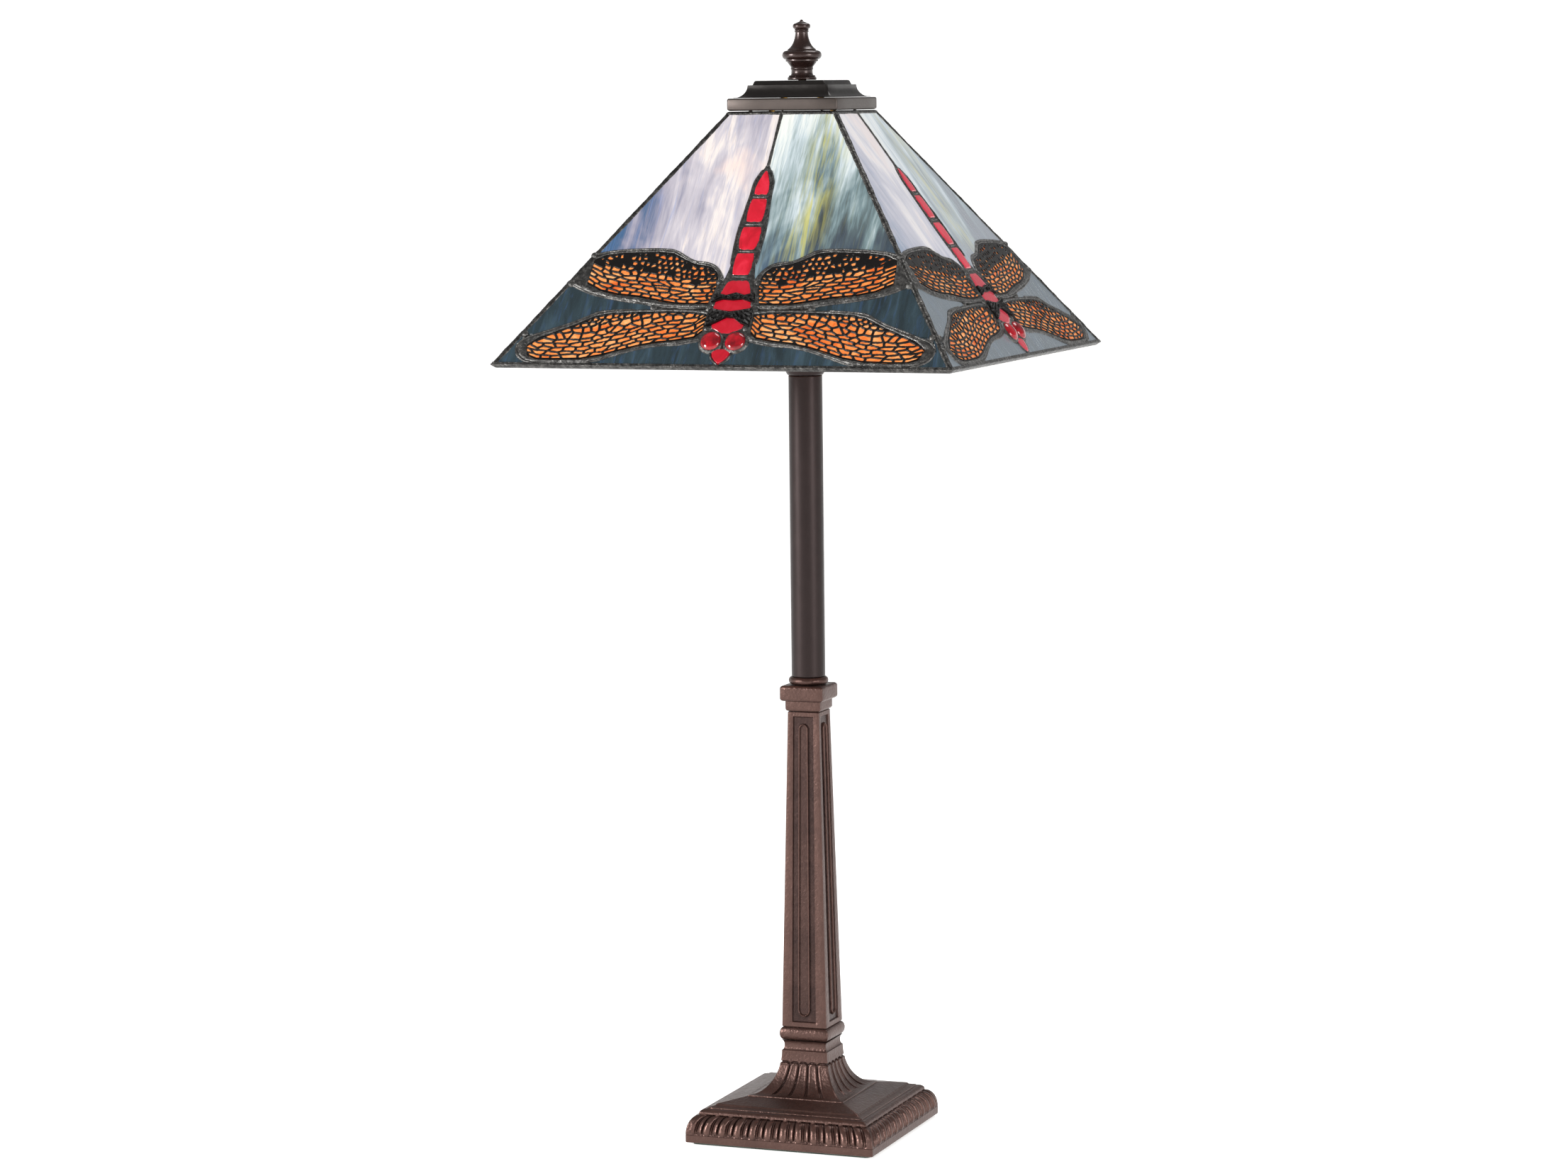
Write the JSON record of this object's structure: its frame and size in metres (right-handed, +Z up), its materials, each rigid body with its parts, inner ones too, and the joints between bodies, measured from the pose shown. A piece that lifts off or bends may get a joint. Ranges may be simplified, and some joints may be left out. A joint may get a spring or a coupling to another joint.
{
  "type": "stained glass table lamp",
  "caption": "Tall table lamp with a square pyramid shade of leaded opalescent glass, a dragonfly on each side, on a tapered bronze column and moulded square base.",
  "frame": {"origin": "centre of the felt pad's underside, at the middle of the base, where the lamp stands on the table", "axes": "+Z up along the lamp's axis, the base and shade square to X and Y, the front side facing -Y"},
  "size_m": [0.3556, 0.3558, 0.8414],
  "materials": {
    "felt": "dark green felt",
    "bronze": "satin dark bronze patina on a fine cast texture",
    "tube_bronze": "satin dark bronze",
    "cap_bronze": "gunmetal bronze patina",
    "finial_bronze": "semi-gloss dark bronze",
    "solder": "hand-run solder with a dark patina and bright high spots",
    "iron": "raw cast iron",
    "steel": "zinc plated",
    "brass": "lacquered brass",
    "nylon": "black moulded",
    "fibre": "pressed fibre",
    "phenolic": "brown-black moulded",
    "frosted_glass": "inside-frosted bulb glass",
    "sky_glass": "opalescent, lavender white with blue and yellow streaks",
    "wing_glass": "opalescent orange under an etched dark filigree",
    "body_glass": "glossy red cathedral glass",
    "ground_glass": "opalescent, slate blue with pale streaks"
  },
  "bodies": {
    "stand": {"felt_pad": "felt", "base_casting": "bronze", "base_weight": "iron", "base_washer": "steel", "base_nut": "steel", "cord_bushing": "nylon", "column_collar": "bronze", "tapered_column": "bronze", "capital": "bronze", "tube_ring": "bronze", "stem_tube": "tube_bronze", "neck_cup": "tube_bronze", "threaded_pipe": "steel", "harp_saddle": "brass", "harp": "brass", "socket_cap": "brass", "socket_shell": "brass", "socket_liner": "fibre", "socket_interior": "phenolic"},
    "shade": {"shade_frame": "solder", "cap_band": "cap_bronze", "shade_cap": "cap_bronze", "leading_front": "solder", "glass_front_sky": "sky_glass", "glass_front_dragonfly_body": "body_glass", "glass_front_wings_right": "wing_glass", "glass_front_wings_left": "wing_glass", "glass_front_ground_right": "ground_glass", "glass_front_ground_left": "ground_glass", "glass_front_ground_low": "ground_glass", "leading_right": "solder", "glass_right_sky": "sky_glass", "glass_right_dragonfly_body": "body_glass", "glass_right_wings_right": "wing_glass", "glass_right_wings_left": "wing_glass", "glass_right_ground_right": "ground_glass", "glass_right_ground_left": "ground_glass", "glass_right_ground_low": "ground_glass", "leading_back": "solder", "glass_back_sky": "sky_glass", "glass_back_dragonfly_body": "body_glass", "glass_back_wings_right": "wing_glass", "glass_back_wings_left": "wing_glass", "glass_back_ground_right": "ground_glass", "glass_back_ground_left": "ground_glass", "glass_back_ground_low": "ground_glass", "leading_left": "solder", "glass_left_sky": "sky_glass", "glass_left_dragonfly_body": "body_glass", "glass_left_wings_right": "wing_glass", "glass_left_wings_left": "wing_glass", "glass_left_ground_right": "ground_glass", "glass_left_ground_left": "ground_glass", "glass_left_ground_low": "ground_glass"},
    "finial": {"finial": "finial_bronze"},
    "switch_key": {"switch_key": "phenolic"},
    "bulb": {"bulb_base": "steel", "bulb_glass": "frosted_glass"},
    "sleeve_left": {"harp_sleeve_left": "brass"},
    "sleeve_right": {"harp_sleeve_right": "brass"}
  },
  "joints": [
    {"name": "shade_turn", "type": "hinge", "parent": "stand", "child": "shade", "pos_m": [0, 0, 0.7932], "axis": [0, 0, 1], "continuous": true},
    {"name": "finial_turn", "type": "hinge", "parent": "stand", "child": "finial", "pos_m": [0, 0, 0.8], "axis": [0, 0, 1], "continuous": true},
    {"name": "switch_turn", "type": "hinge", "parent": "stand", "child": "switch_key", "pos_m": [0, -0.02, 0.6195], "axis": [0, -1, 0], "continuous": true},
    {"name": "bulb_turn", "type": "hinge", "parent": "stand", "child": "bulb", "pos_m": [0, 0, 0.66], "axis": [0, 0, 1], "continuous": true},
    {"name": "sleeve_left_lift", "type": "slide", "parent": "stand", "child": "sleeve_left", "axis": [0, 0, 1], "range_m": [0, 0.015]},
    {"name": "sleeve_right_lift", "type": "slide", "parent": "stand", "child": "sleeve_right", "axis": [0, 0, 1], "range_m": [0, 0.015]}
  ]
}
